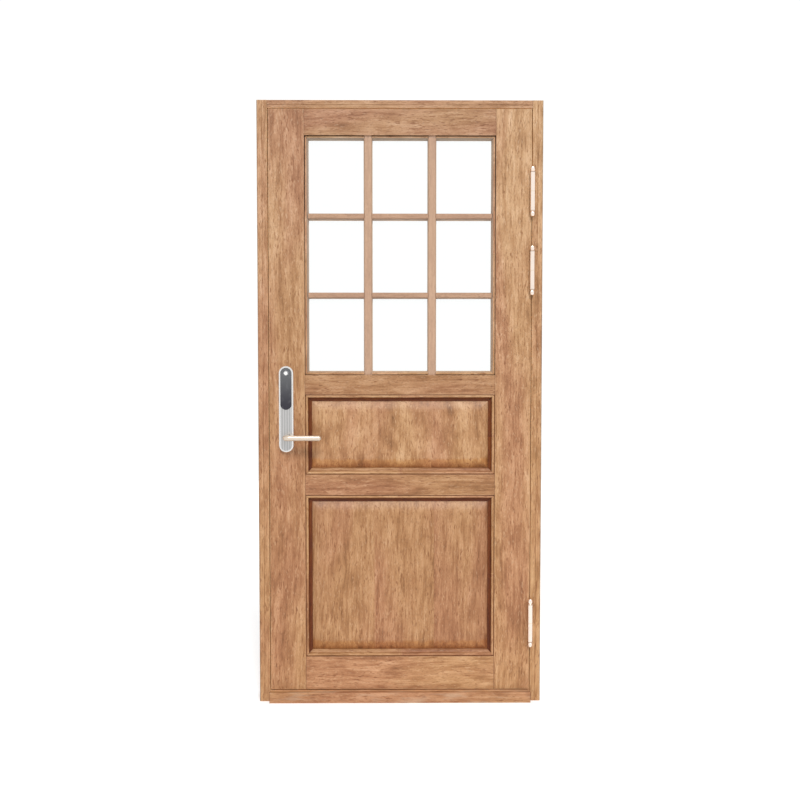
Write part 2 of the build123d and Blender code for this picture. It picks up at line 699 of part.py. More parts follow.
def door_pieces():
    """Every piece of the door set by its name."""
    pieces = {
        "hinge_jamb": hinge_jamb(),
        "latch_jamb": latch_jamb(),
        "head_jamb": head_jamb(),
        "hinge_side_stop": side_stop(1),
        "latch_side_stop": side_stop(-1),
        "head_stop": head_stop(),
        "threshold": threshold(),
        "threshold_stop": threshold_stop(),
        "frame_seal": frame_seal(),
        "strike_plate": strike_plate(),
        "hinge_stile": hinge_stile(),
        "latch_stile": latch_stile(),
        "top_rail": rail(GLAZING_TOP, LEAF_TOP),
        "middle_rail": rail(UPPER_TOP, GLAZING_BOTTOM),
        "lock_rail": rail(LOWER_TOP, UPPER_BOTTOM),
        "bottom_rail": rail(LEAF_BOTTOM, LOWER_BOTTOM),
        "glazing_moulding": glazing_moulding(),
        "left_glazing_bar": upright_bar(0),
        "right_glazing_bar": upright_bar(1),
        "lower_cross_bar": cross_bar(0),
        "upper_cross_bar": cross_bar(1),
        "glass_panes": glass_panes(),
        "glazing_beads": glazing_beads(),
        "upper_panel": panel(UPPER_BOTTOM, UPPER_TOP),
        "lower_panel": panel(LOWER_BOTTOM, LOWER_TOP),
        "outside_backplate": outside_backplate(),
        "backplate_insert": backplate_insert(),
        "reader_cover": reader_cover(),
        "reader_button": reader_button(),
        "inside_backplate": inside_copy(backplate()),
        "lock_case": lock_case(),
        "outside_lever": outside_lever(),
        "inside_lever": inside_copy(outside_lever()),
        "spindle": spindle(),
    }
    for name, low, high in (("upper", UPPER_BOTTOM, UPPER_TOP), ("lower", LOWER_BOTTOM, LOWER_TOP)):
        moulding = panel_moulding(low, high)
        pieces[f"{name}_panel_outside_moulding"] = moulding
        pieces[f"{name}_panel_inside_moulding"] = inside_copy(moulding)
    for name, height in HINGE_HEIGHTS.items():
        pieces[f"{name}_hinge_frame_half"] = frame_hinge_half(height)
        pieces[f"{name}_hinge_leaf_half"] = leaf_hinge_half(height)
    return pieces


os.makedirs("parts", exist_ok=True)
for name, body in door_pieces().items():
    export_step(body, f"parts/{name}.step")
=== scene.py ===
from math import radians

import bmesh
import bpy
from mathutils import Matrix, Vector


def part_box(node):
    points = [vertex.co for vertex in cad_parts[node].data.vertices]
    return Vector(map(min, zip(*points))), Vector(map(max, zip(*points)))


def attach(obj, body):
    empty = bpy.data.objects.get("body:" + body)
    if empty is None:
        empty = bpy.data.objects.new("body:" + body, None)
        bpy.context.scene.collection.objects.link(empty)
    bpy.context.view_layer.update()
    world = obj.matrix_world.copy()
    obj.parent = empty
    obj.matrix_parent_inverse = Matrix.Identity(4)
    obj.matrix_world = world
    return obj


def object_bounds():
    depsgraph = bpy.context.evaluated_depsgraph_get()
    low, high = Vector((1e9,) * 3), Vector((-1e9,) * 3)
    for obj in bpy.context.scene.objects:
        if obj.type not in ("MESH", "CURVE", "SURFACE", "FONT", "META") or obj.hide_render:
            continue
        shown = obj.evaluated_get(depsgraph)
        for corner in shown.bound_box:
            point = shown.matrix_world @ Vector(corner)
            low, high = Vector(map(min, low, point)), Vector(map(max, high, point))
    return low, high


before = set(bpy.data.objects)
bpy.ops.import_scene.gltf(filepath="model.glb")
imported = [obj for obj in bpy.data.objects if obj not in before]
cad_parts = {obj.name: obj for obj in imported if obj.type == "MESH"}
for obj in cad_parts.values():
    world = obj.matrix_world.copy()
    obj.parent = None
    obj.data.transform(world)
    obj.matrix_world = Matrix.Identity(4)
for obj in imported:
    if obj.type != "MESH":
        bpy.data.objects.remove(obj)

cad_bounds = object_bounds()


# Jambs of the frame
# The two uprights of the frame are solid teak, planed, with their arrises eased and a quirk
# run down the face. They are screwed to the wall through the rebate and finished with oil.
class Reading:
    """What a shader node gives, usable in sums."""

    def __init__(self, finish, socket):
        self.finish = finish
        self.socket = socket

    def combine(self, operation, first, second):
        return self.finish.node("ShaderNodeMath", {"operation": operation}, {0: first, 1: second})

    def __add__(self, other):
        return self.combine("ADD", self, other)

    def __sub__(self, other):
        return self.combine("SUBTRACT", self, other)

    def __mul__(self, other):
        return self.combine("MULTIPLY", self, other)

    def __truediv__(self, other):
        return self.combine("DIVIDE", self, other)

    def __rsub__(self, other):
        return self.combine("SUBTRACT", other, self)

    def __abs__(self):
        return self.combine("ABSOLUTE", self, 0.0)

    __radd__ = __add__
    __rmul__ = __mul__


class Finish:
    """One finish of the door, built up from shader nodes."""

    def __init__(self, name, slot):
        self.material = bpy.data.materials.new(name)
        self.material.use_nodes = True
        self.tree = self.material.node_tree
        self.shader = self.tree.nodes["Principled BSDF"]
        self.slot = slot

    def node(self, kind, settings, sockets, output=0):
        """Any node: its settings first, then the values or links of its sockets."""
        made = self.tree.nodes.new(kind)
        stops = settings.pop("stops", None)
        for name, value in settings.items():
            setattr(made, name, value)
        if stops:
            ramp = made.color_ramp
            while len(ramp.elements) < len(stops):
                ramp.elements.new(0.5)
            for element, (position, colour) in zip(ramp.elements, stops):
                element.position = position
                element.color = (*colour, 1.0)
        for name, value in sockets.items():
            if isinstance(value, Reading):
                self.tree.links.new(value.socket, made.inputs[name])
            else:
                made.inputs[name].default_value = value
        return Reading(self, made.outputs[output])

    def place(self):
        """Where a point of the surface is, in the door's own frame."""
        return self.node("ShaderNodeTexCoord", {}, {}, "Object")

    def axis(self, place, name):
        """One of the three distances of a place."""
        return self.node("ShaderNodeSeparateXYZ", {}, {"Vector": place}, name)

    def stretched(self, place, cells):
        """A place counted in cells along each axis."""
        return self.node("ShaderNodeVectorMath", {"operation": "MULTIPLY"}, {0: place, 1: cells})

    def noise(self, place, cells, detail=2.0, output="Fac"):
        """Cloudy pattern of so many cells per metre along each axis."""
        return self.node("ShaderNodeTexNoise", {}, {"Vector": self.stretched(place, cells),
                                                    "Scale": 1.0, "Detail": detail}, output)

    def step(self, reading, low, high, start=0.0, end=1.0):
        """Soft step from start to end as a reading goes from low to high."""
        return self.node("ShaderNodeMapRange", {"interpolation_type": "SMOOTHSTEP"},
                         {"Value": reading, "From Min": low, "From Max": high,
                          "To Min": start, "To Max": end})

    def mix(self, amount, first, second, blend="MIX"):
        """Two colours mixed by an amount."""
        colours = [value if isinstance(value, Reading) else (*value, 1.0)
                   for value in (first, second)]
        return self.node("ShaderNodeMix", {"data_type": "RGBA", "blend_type": blend},
                         {0: amount, 6: colours[0], 7: colours[1]}, 2)

    def tint(self, amount, colour, by):
        """A colour multiplied by another, as far as an amount says."""
        return self.mix(amount, colour, by, "MULTIPLY")

    def colour(self):
        """The base colour that the shader has so far."""
        return Reading(self, self.shader.inputs["Base Color"].links[0].from_socket)

    def close(self, links, values):
        """Sets the shader's sockets, from readings and from plain values."""
        for name, reading in links.items():
            self.tree.links.new(reading.socket, self.shader.inputs[name])
        for name, value in values.items():
            self.shader.inputs[name].default_value = value
        return self

    def bump(self, height, distance, strength=1.0):
        """Normal of a surface whose height is given as a share of a distance in metres."""
        return self.node("ShaderNodeBump", {}, {"Height": height, "Distance": distance,
                                                "Strength": strength})


def along_grain(finish, grain, seed):
    """Place on a board, turned so that its grain runs along Z, at a spot of its own in the log."""
    turn = {"upright": (0.0, 0.0, 0.0), "level": (0.0, radians(90), 0.0)}[grain]
    return finish.node("ShaderNodeMapping", {},
                       {"Vector": finish.place(), "Rotation": turn,
                        "Location": (seed * 1.37, seed * 0.71, seed * 2.93)})


LOW_PAINTED_SHADE = (0.86, 0.775, 0.670)
LOW_HEIGHT = 0.50
HIGH_HEIGHT = 2.05
DARKER_IS_WARMER = (0.95, 1.28, 1.40)
GRAIN_WANDER = 0.07
GRAIN_RIPPLE = 0.009
PORE_COLOUR = (0.42, 0.32, 0.26)
DASH_COLOUR = (0.52, 0.38, 0.28)
FLECK_COLOUR = (0.74, 0.53, 0.36)


def teak_wood(finish, board, redness, lightness, mottle):
    """Colour, roughness and surface height of oiled teak whose grain runs along Z."""
    wander = finish.noise(board, (1.6, 1.6, 0.8), 1.0, "Color")
    ripple = finish.noise(board, (11.0, 11.0, 8.0), 2.0, "Color")
    drift = finish.node("ShaderNodeVectorMath", {"operation": "MULTIPLY_ADD"},
                        {0: wander, 1: (GRAIN_WANDER, GRAIN_WANDER, 0.0), 2: board})
    drift = finish.node("ShaderNodeVectorMath", {"operation": "MULTIPLY_ADD"},
                        {0: ripple, 1: (GRAIN_RIPPLE, GRAIN_RIPPLE, 0.0), 2: drift})
    tone = finish.noise(drift, (6.0, 6.0, 1.3))
    band = finish.noise(drift, (36.0, 36.0, 2.4), 3.0)
    streak = finish.noise(drift, (130.0, 130.0, 13.0), 3.0)
    cloud = finish.noise(drift, (24.0, 24.0, 12.0), 3.0)
    dash = finish.noise(drift, (260.0, 260.0, 42.0), 1.0)
    fleck = finish.noise(drift, (210.0, 210.0, 55.0), 1.0)
    pore = finish.noise(drift, (1500.0, 1500.0, 110.0), 1.0)
    fibre = finish.noise(drift, (2600.0, 2600.0, 40.0), 2.0)
    depth = (band * 0.9 + streak * 1.2 + cloud * mottle + fibre * 0.3) / (2.4 + mottle)
    golden = finish.node("ShaderNodeValToRGB", {"stops": (
        (0.34, (0.250, 0.124, 0.052)), (0.45, (0.425, 0.232, 0.110)),
        (0.54, (0.555, 0.338, 0.182)), (0.66, (0.680, 0.455, 0.280)))}, {"Fac": depth})
    reddish = finish.node("ShaderNodeValToRGB", {"stops": (
        (0.34, (0.225, 0.098, 0.046)), (0.45, (0.385, 0.188, 0.098)),
        (0.54, (0.515, 0.284, 0.162)), (0.66, (0.655, 0.405, 0.265)))}, {"Fac": depth})
    hue = finish.step(tone, 0.40 - 0.2 * (redness - 0.5), 0.62 - 0.2 * (redness - 0.5))
    colour = finish.mix(hue, golden, reddish)
    dashes = finish.step(dash, 0.58, 0.70) * finish.step(cloud, 0.40, 0.58, 0.25, 1.0)
    pores = finish.step(pore, 0.60, 0.72)
    colour = finish.mix(finish.step(fleck, 0.60, 0.72) * 0.30, colour, FLECK_COLOUR)
    colour = finish.tint(dashes * 0.80, colour, DASH_COLOUR)
    colour = finish.tint(pores * 0.50, colour, PORE_COLOUR)
    high_shade = tuple(lightness ** power for power in DARKER_IS_WARMER)
    # Painted shade: the wood is darker and warmer towards the bottom of the door, from LOW_HEIGHT
    # up to HIGH_HEIGHT.
    low_shade = tuple(high * part for high, part in zip(high_shade, LOW_PAINTED_SHADE))
    rise = finish.step(finish.axis(finish.place(), "Z"), LOW_HEIGHT, HIGH_HEIGHT)
    colour = finish.tint(1.0, colour, finish.mix(rise, low_shade, high_shade))
    roughness = 0.42 + streak * 0.16 + pores * 0.20
    height = fibre * 0.25 - pores * 0.6 - dashes * 0.35 + streak * 0.2
    return colour, roughness, height


def to_edge(finish, low, high):
    """How far a point on a board's face is from the board's nearest edge, in metres."""
    place = finish.place()
    depths = []
    for name, start, end in zip("XYZ", low, high):
        middle = (start + end) / 2
        depths.append((end - start) / 2 - abs(finish.axis(place, name) - middle))
    most = depths[0].combine("MAXIMUM", depths[0], depths[1])
    most = most.combine("MAXIMUM", most, depths[2])
    return depths[0] + depths[1] + depths[2] - most


GAP_MIDDLE = (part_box("hinge_jamb")[0][0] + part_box("hinge_stile")[1][0]) / 2
GAP_TOP = (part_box("head_jamb")[0][2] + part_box("hinge_stile")[1][2]) / 2
GAP_BOTTOM = (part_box("threshold")[1][2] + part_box("hinge_stile")[0][2]) / 2


def beside_gap(finish):
    """How far a point on the door's face is from the gap round the leaf, in metres."""
    place = finish.place()
    across = abs(finish.axis(place, "X")) - GAP_MIDDLE
    rise = finish.axis(place, "Z")
    outside = across.combine("MAXIMUM", across, rise - GAP_TOP)
    return abs(outside.combine("MAXIMUM", outside, GAP_BOTTOM - rise))


TEAK_SHINE = {"Specular IOR Level": 0.32}
GRAIN_RELIEF = 0.0006
WORN_AND_HIGHLIT_TEAK = (0.62, 0.42, 0.27)
WORN_AND_HIGHLIT_EDGE = (0.0040, 0.0016)
GAP_PAINTED_LIGHT_TEAK = (1.0, 0.64, 0.32)
GAP_PAINTED_LIGHT_GAIN = (1.4, 1.4, 1.3)
GAP_PAINTED_LIGHT_EDGE = (0.0023, 0.0018)
JOINT_SHADOW = (0.38, 0.27, 0.20)
JOINT_EDGE = (0.0022, 0.0008)
grain_seeds = iter(range(1, 100))


def teak_board(name, grain, redness=0.5, lightness=1.0, mottle=1.0, ends=0.0):
    """Oiled teak for one board, its arrises lighter for wear and as a painted highlight, and with
    painted light where it faces the leaf's gap.

    Ends is how dark the thin line is at its jointed ends.
    """
    finish = Finish(f"teak_{name}", "teak")
    low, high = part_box(name)
    board = along_grain(finish, grain, next(grain_seeds))
    colour, roughness, height = teak_wood(finish, board, redness, lightness, mottle)
    edge = to_edge(finish, low, high)
    scuffs = finish.noise(finish.place(), (60.0, 60.0, 60.0), 3.0)
    # Arrises lighter, for wear and as a painted highlight.
    worn = finish.step(edge + scuffs * 0.003, *WORN_AND_HIGHLIT_EDGE)
    colour = finish.mix(worn * 0.15, colour, WORN_AND_HIGHLIT_TEAK)
    # Painted light: lighter and paler next to the gap round the leaf, where the gap's shade falls.
    gap_lit = finish.step(beside_gap(finish), *GAP_PAINTED_LIGHT_EDGE)
    colour = finish.tint(gap_lit, colour, GAP_PAINTED_LIGHT_GAIN)
    colour = finish.mix(gap_lit * 0.50, colour, GAP_PAINTED_LIGHT_TEAK)
    if ends:
        axis, side = ("Z", 2) if grain == "upright" else ("X", 0)
        reach = (high[side] - low[side]) / 2
        middle = (high[side] + low[side]) / 2
        inset = reach - abs(finish.axis(finish.place(), axis) - middle)
        joint = finish.step(inset, *JOINT_EDGE)
        colour = finish.tint(joint * ends, colour, JOINT_SHADOW)
    finish.close({"Base Color": colour, "Roughness": roughness,
                  "Normal": finish.bump(height, GRAIN_RELIEF)}, TEAK_SHINE)
    return finish


def wear(name, finish):
    """Puts a finish on a piece that comes from the frame."""
    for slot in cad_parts[name].material_slots:
        slot.material = finish.material


OUTER_EDGE_GREY = (0.66, 0.72, 0.78)
OUTER_EDGE_GREY_REACH = (0.007, 0.004)
for name, redness, lightness in (("latch_jamb", 0.55, 0.95), ("hinge_jamb", 0.5, 1.04)):
    finish = teak_board(name, "upright", redness, lightness)
    # Greyer towards the frame's outer edge, along a ragged line.
    outer = cad_bounds[1][0] - abs(finish.axis(finish.place(), "X"))
    ragged = outer + finish.noise(finish.place(), (30.0, 30.0, 3.0)) * 0.004
    tinted = finish.step(ragged, *OUTER_EDGE_GREY_REACH)
    colour = finish.tint(tinted * 0.75, finish.colour(), OUTER_EDGE_GREY)
    finish.close({"Base Color": colour}, {})
    wear(name, finish)

# Head and stops of the frame
# The head is the same teak as the jambs and sits between them, its grain running across.
# The stops are planted on behind the leaf and pinned, with a kerf for the weather seal.
wear("head_jamb", teak_board("head_jamb", "level", 0.45, 0.84, ends=0.5))
wear("hinge_side_stop", teak_board("hinge_side_stop", "upright", 0.5, 0.98))
wear("latch_side_stop", teak_board("latch_side_stop", "upright", 0.6, 0.98))
wear("head_stop", teak_board("head_stop", "level", 0.5, 0.98, ends=0.6))

# Threshold
# The sill is one teak board with its nose rounded over, let in between the jambs. Its upstand
# stands behind the leaf. Feet have rubbed the oil from the nose, which has dried and greyed.
GREYED_TEAK = (0.50, 0.37, 0.26)
UNDER_LEAF_LIGHT_TEAK = (0.98, 0.64, 0.36)
UNDER_LEAF_LIGHT_GAIN = (1.45, 1.42, 1.35)
UNDER_LEAF_LIGHT_EDGE = (-0.050, -0.045)
for name in ("threshold", "threshold_stop"):
    finish = teak_board(name, "level", 0.4, 0.93, 1.4, 0.7)
    trodden = finish.noise(finish.place(), (9.0, 60.0, 60.0), 3.0)
    colour = finish.mix(finish.step(trodden, 0.48, 0.66) * 0.35, finish.colour(), GREYED_TEAK)
    # Painted light: lighter and paler on the sill under the leaf, where the gap's shade falls.
    under_leaf_lit = finish.step(finish.axis(finish.place(), "Y"), *UNDER_LEAF_LIGHT_EDGE)
    colour = finish.tint(under_leaf_lit, colour, UNDER_LEAF_LIGHT_GAIN)
    colour = finish.mix(under_leaf_lit * 0.35, colour, UNDER_LEAF_LIGHT_TEAK)
    finish.close({"Base Color": colour}, {})
    wear(name, finish)

# Weather seal
# A brown rubber strip is pressed into the kerf of the stops, its soft face against the leaf.
# It is moulded matt, and dust shows on it.
RUBBER_BROWN = (0.055, 0.036, 0.025)
RUBBER_DUST = (0.16, 0.12, 0.09)
seal = Finish("seal_rubber", "seal_rubber")
dust = seal.noise(seal.place(), (80.0, 80.0, 80.0), 4.0)
grain = seal.noise(seal.place(), (1500.0, 1500.0, 1500.0), 2.0)
seal_colour = seal.mix(seal.step(dust, 0.45, 0.75) * 0.5, RUBBER_BROWN, RUBBER_DUST)
seal.close({"Base Color": seal_colour, "Roughness": 0.6 + dust * 0.25,
            "Normal": seal.bump(grain, 0.0001)}, {"Specular IOR Level": 0.35})
wear("frame_seal", seal)

# Stiles and rails of the leaf
# The leaf is framed from teak boards: two stiles the full height, and four rails tenoned in
# between them and glued. Every joint shows as a thin dark line across the grain.
wear("latch_stile", teak_board("latch_stile", "upright", 0.55, 0.94))
wear("hinge_stile", teak_board("hinge_stile", "upright", 0.48, 1.01))
for name, redness, lightness in (("top_rail", 0.90, 0.79), ("middle_rail", 0.60, 0.82),
                                 ("lock_rail", 0.50, 0.88), ("bottom_rail", 0.42, 1.03)):
    wear(name, teak_board(name, "level", redness, lightness, ends=0.8))


# Mouldings
# A moulding is planted round each panel on both faces, mitred at its corners, and a sunk
# moulding is worked round the glazing. Its grain runs along each side. Painted shade darkens
# the quirk and the cove, most at the top and least at the bottom.
MITRE_EDGE = (0.0012, 0.0004)
MITRE_SHADOW = (0.40, 0.28, 0.20)
MOULDING_RELIEF = 0.0005


def mitred_teak(name, lightness, cut, groove_shade, blend, shade_strengths, quirk):
    """Oiled teak for a mitred ring, with painted shade in its cove and in its outer quirk.

    The cut is where the painted shade in the cove starts and ends, in metres behind the
    moulding's face. shade_strengths are those of that painted shade at the top, left, right and
    bottom. The quirk is how wide its painted shade is at the top and elsewhere, and its colour.
    """
    finish = Finish(f"teak_{name}", "teak")
    low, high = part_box(name)
    face_y = low[1] if abs(low[1]) > abs(high[1]) else high[1]
    place = finish.place()
    x, y, z = (finish.axis(place, letter) for letter in "XYZ")
    middle_x = (low[0] + high[0]) / 2
    middle_z = (low[2] + high[2]) / 2
    from_side = (high[0] - low[0]) / 2 - abs(x - middle_x)
    from_end = (high[2] - low[2]) / 2 - abs(z - middle_z)
    upright = finish.step(from_end - from_side, -0.0001, 0.0001)
    seed = next(grain_seeds)
    runs = [along_grain(finish, grain, seed + share) for grain, share in (("level", 0.0),
                                                                          ("upright", 0.5))]
    half = finish.step(x - middle_x, -0.01, 0.01) * 0.7 + finish.step(z - middle_z, -0.01, 0.01)
    apart = finish.node("ShaderNodeCombineXYZ", {}, {"Y": half})
    run = finish.node("ShaderNodeMix", {"data_type": "VECTOR"}, {0: upright, 4: runs[0],
                                                                5: runs[1]}, 1)
    board = finish.node("ShaderNodeVectorMath", {"operation": "ADD"}, {0: run, 1: apart})
    colour, roughness, height = teak_wood(finish, board, 0.5, lightness, 0.6)
    top, left, right, bottom = shade_strengths
    level = finish.step(z - middle_z, -0.01, 0.01, bottom, top)
    sides = finish.step(x - middle_x, -0.01, 0.01, left, right)
    strength = level + (sides - level) * upright
    deep = finish.step(abs(y - face_y), *cut)
    # Painted shade in the cove, its strength set for the top, the sides and the bottom.
    colour = finish.mix(deep * strength, colour, groove_shade, blend)
    from_outer = from_side.combine("MINIMUM", from_side, from_end)
    top_width, side_width, quirk_shade_colour = quirk
    height_up = z - middle_z - 0.3 * abs(x - middle_x)
    reach = finish.step(height_up, 0.05, 0.06, side_width, top_width)
    sunk = finish.step(from_outer - reach, 0.0004, -0.0004)
    # Painted shade and shadow along the outer quirk, as wide as the quirk says at the top and at
    # the sides.
    colour = finish.tint(sunk * 0.9, colour, quirk_shade_colour)
    mitre = finish.step(abs(from_end - from_side), *MITRE_EDGE)
    colour = finish.tint(mitre * 0.5, colour, MITRE_SHADOW)
    finish.close({"Base Color": colour, "Roughness": roughness,
                  "Normal": finish.bump(height, MOULDING_RELIEF)}, TEAK_SHINE)
    return finish


for panel in ("upper_panel", "lower_panel"):
    for side in ("outside", "inside"):
        name = f"{panel}_{side}_moulding"
        wear(name, mitred_teak(name, 1.02, cut=(0.0032, 0.0045), groove_shade=(0.27, 0.105, 0.006),
                               blend="MULTIPLY", shade_strengths=(1.0, 1.0, 1.0, 0.30),
                               quirk=(0.0026, 0.0026, (0.36, 0.21, 0.11))))
# On the glazing moulding the painted shade greys its sunk sides, and a dark painted shadow lies
# under the top rail.
wear("glazing_moulding",
     mitred_teak("glazing_moulding", 1.10, cut=(0.0004, 0.0016), groove_shade=(0.31, 0.25, 0.20),
                 blend="MIX", shade_strengths=(0.80, 0.75, 0.60, 0.35),
                 quirk=(0.0034, 0.0020, (0.10, 0.05, 0.02))))


# Raised panels
# Each panel is glued up from three upright boards, its edges fielded on both faces. It sits
# loose in the grooves of the frame so that it can swell. Painted shade darkens the foot of its
# bevels, most at the bottom, and painted light lifts the top bevel in blotches.
BEVEL_SHADE = (0.66, 0.50, 0.38)
BEVEL_DEPTHS = (0.0050, 0.0155)
BEVEL_FOOT_SHADE = (0.98, 0.76, 0.38)
BEVEL_FOOT_DEPTHS = (0.0028, 0.0070)
TOP_BEVEL_LIGHT = (0.80, 0.60, 0.48)
TOP_BEVEL_LIGHT_DEPTHS = (0.0006, 0.0020)
RAGGED_DEPTH = 0.008


def panel_teak(name, redness, lightness, mottle, joints):
    """Oiled teak for a fielded panel of several boards, glued at the joints."""
    finish = Finish(f"teak_{name}", "teak")
    low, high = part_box(name)
    place = finish.place()
    x, y, z = (finish.axis(place, letter) for letter in "XYZ")
    board = along_grain(finish, "upright", next(grain_seeds))
    boards = [finish.step(x, joint - 0.0002, joint + 0.0002) for joint in joints]
    own = boards[0]
    for each in boards[1:]:
        own = own + each
    apart = finish.node("ShaderNodeCombineXYZ", {}, {"Y": own * 0.43, "Z": own * 0.61})
    board = finish.node("ShaderNodeVectorMath", {"operation": "ADD"}, {0: board, 1: apart})
    colour, roughness, height = teak_wood(finish, board, redness, lightness, mottle)
    middle = (low[1] + high[1]) / 2
    sunk = (high[1] - low[1]) / 2 - abs(y - middle)
    ragged = finish.noise(board, (75.0, 75.0, 2.0)) * RAGGED_DEPTH
    above_foot = z - low[2]
    shaded = finish.step(sunk + ragged, *BEVEL_DEPTHS)
    shaded = shaded * finish.step(above_foot, 0.09, 0.04, 0.10, 0.70)
    colour = finish.tint(shaded, colour, BEVEL_SHADE)
    # Painted shade: darker and redder at the foot of the bottom bevel.
    tinted = finish.step(sunk + ragged, *BEVEL_FOOT_DEPTHS) * finish.step(above_foot, 0.062, 0.048)
    colour = finish.tint(tinted * 0.60, colour, BEVEL_FOOT_SHADE)
    # Painted light, in blotches, on the top bevel, which faces the light.
    top_bevel_lit = finish.step(sunk, *TOP_BEVEL_LIGHT_DEPTHS) * finish.step(high[2] - z, 0.06, 0.03)
    colour = finish.mix(top_bevel_lit * ragged * 22.0, colour, TOP_BEVEL_LIGHT)
    finish.close({"Base Color": colour, "Roughness": roughness,
                  "Normal": finish.bump(height, GRAIN_RELIEF)}, TEAK_SHINE)
    return finish


wear("upper_panel", panel_teak("upper_panel", 0.40, 1.0, mottle=2.8, joints=(-0.12, 0.11)))
wear("lower_panel", panel_teak("lower_panel", 0.70, 0.915, mottle=0.9, joints=(-0.09, 0.12)))

# Glazing bars and beads
# Two upright bars run from rail to rail and short cross bars are scribed between them. The
# beads that hold the panes are pinned on from inside, all in paler, straight-grained teak.
BAR_TEAK = (0.53, 0.355, 0.255)
BAR_SIDE_SHADE = (0.72, 0.76, 0.80)
for name, grain, pale, shade in (("left_glazing_bar", "upright", 0.70, 0.94),
                                 ("right_glazing_bar", "upright", 0.70, 0.94),
                                 ("lower_cross_bar", "level", 0.55, 0.85),
                                 ("upper_cross_bar", "level", 0.55, 0.85)):
    finish = teak_board(name, grain, 0.5, shade, 0.5)
    depth = finish.axis(finish.place(), "Y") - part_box(name)[0][1]
    colour = finish.mix(pale, finish.colour(), tuple(shade * part for part in BAR_TEAK))
    colour = finish.tint(finish.step(depth, 0.002, 0.008) * 0.7, colour, BAR_SIDE_SHADE)
    finish.close({"Base Color": colour}, {})
    wear(name, finish)
wear("glazing_beads", teak_board("glazing_beads", "upright", 0.5, 1.0, 0.5))

# Glass
# Nine panes of clear float glass sit in the rebates. A faint film has dried on them in patches,
# and they shine more, the more they are seen from the side.
GLASS_TINT = (0.990, 0.995, 0.993, 1.0)
GLASS_GREY = (0.45, 0.50, 0.49, 1.0)
SHINE_AHEAD = 0.03
SHINE_ASLANT = 0.75
glass = Finish("clear_glass", "clear_glass")
film = glass.noise(glass.place(), (5.0, 5.0, 5.0), 4.0)
glass.close({"Roughness": glass.step(film, 0.4, 0.8, 0.015, 0.06)},
            {"Base Color": GLASS_GREY, "Specular IOR Level": 0.6, "IOR": 1.5})
through = glass.tree.nodes.new("ShaderNodeBsdfTransparent")
through.inputs["Color"].default_value = GLASS_TINT
aslant = glass.node("ShaderNodeLayerWeight", {}, {"Blend": 0.5}, "Facing")
sheen = aslant.combine("POWER", aslant, 5.0) * SHINE_ASLANT + SHINE_AHEAD
both = glass.tree.nodes.new("ShaderNodeMixShader")
glass.tree.links.new(sheen.socket, both.inputs[0])
glass.tree.links.new(through.outputs[0], both.inputs[1])
glass.tree.links.new(glass.shader.outputs[0], both.inputs[2])
glass.tree.links.new(both.outputs[0], glass.tree.nodes["Material Output"].inputs["Surface"])
wear("glass_panes", glass)


# Glazing gasket
# A thin cream rubber bead lies in the corner between each pane and its bars, outside, and keeps
# the rain out. It is laid in one run round each light, its corners mitred.
def placed(maker, **values):
    """New piece from a primitive, everything else deselected, and left in edit mode."""
    bpy.ops.object.select_all(action="DESELECT")
    maker(enter_editmode=True, **values)
    return bpy.context.object


def finished(piece, name, body, finish):
    """Closes a new piece: name, outward faces, place in the mesh, finish and ride."""
    bpy.ops.object.mode_set(mode="EDIT")
    bpy.ops.mesh.select_all(action="SELECT")
    bpy.ops.mesh.normals_make_consistent(inside=False)
    bpy.ops.object.mode_set(mode="OBJECT")
    bpy.ops.object.transform_apply(location=True, rotation=True, scale=True)
    piece.name = name
    dressed(piece, body, finish)


def dressed(piece, body, finish):
    """Gives a piece its finish, and the body that it moves with."""
    piece.data.materials.clear()
    piece.data.materials.append(finish.material)
    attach(piece, body)


GASKET_WIDTH = 0.0016
GASKET_HEIGHT = 0.0013
GASKET_OFF_PANE = 0.00005
GLAZING_MOULDING = 0.013
GASKET_DULL = (0.48, 0.39, 0.30)
GASKET_CLEAN = (0.66, 0.56, 0.45)
gasket_finish = Finish("gasket_rubber", "seal_rubber")
powder = gasket_finish.noise(gasket_finish.place(), (300.0, 300.0, 300.0), 3.0)
gasket_finish.close({"Base Color": gasket_finish.mix(powder, GASKET_DULL, GASKET_CLEAN),
                     "Roughness": 0.5 + powder * 0.3,
                     "Normal": gasket_finish.bump(powder, 0.0001)}, {"Specular IOR Level": 0.3})
opening_low, opening_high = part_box("glazing_moulding")
sight_x = [opening_low[0] + GLAZING_MOULDING]
for bar in ("left_glazing_bar", "right_glazing_bar"):
    sight_x += [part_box(bar)[0][0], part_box(bar)[1][0]]
sight_x.append(opening_high[0] - GLAZING_MOULDING)
sight_z = [opening_low[2] + GLAZING_MOULDING]
for bar in ("lower_cross_bar", "upper_cross_bar"):
    sight_z += [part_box(bar)[0][2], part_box(bar)[1][2]]
sight_z.append(opening_high[2] - GLAZING_MOULDING)
gasket_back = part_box("glass_panes")[0][1] - GASKET_OFF_PANE
for column in range(3):
    for row in range(3):
        left, right = sight_x[2 * column:2 * column + 2]
        low, high = sight_z[2 * row:2 * row + 2]
        gasket = placed(bpy.ops.mesh.primitive_plane_add, size=1.0,
                        location=((left + right) / 2, gasket_back, (low + high) / 2),
                        rotation=(radians(90), 0.0, 0.0))
        bpy.ops.transform.resize(value=(right - left, 1.0, high - low))
        bpy.ops.mesh.inset(thickness=GASKET_WIDTH)
        bpy.ops.mesh.delete(type="FACE")
        bpy.ops.mesh.select_all(action="SELECT")
        bpy.ops.mesh.extrude_region_move(
            TRANSFORM_OT_translate={"value": (0.0, -GASKET_HEIGHT, 0.0)})
        finished(gasket, f"gasket_{column}_{row}", "leaf", gasket_finish)


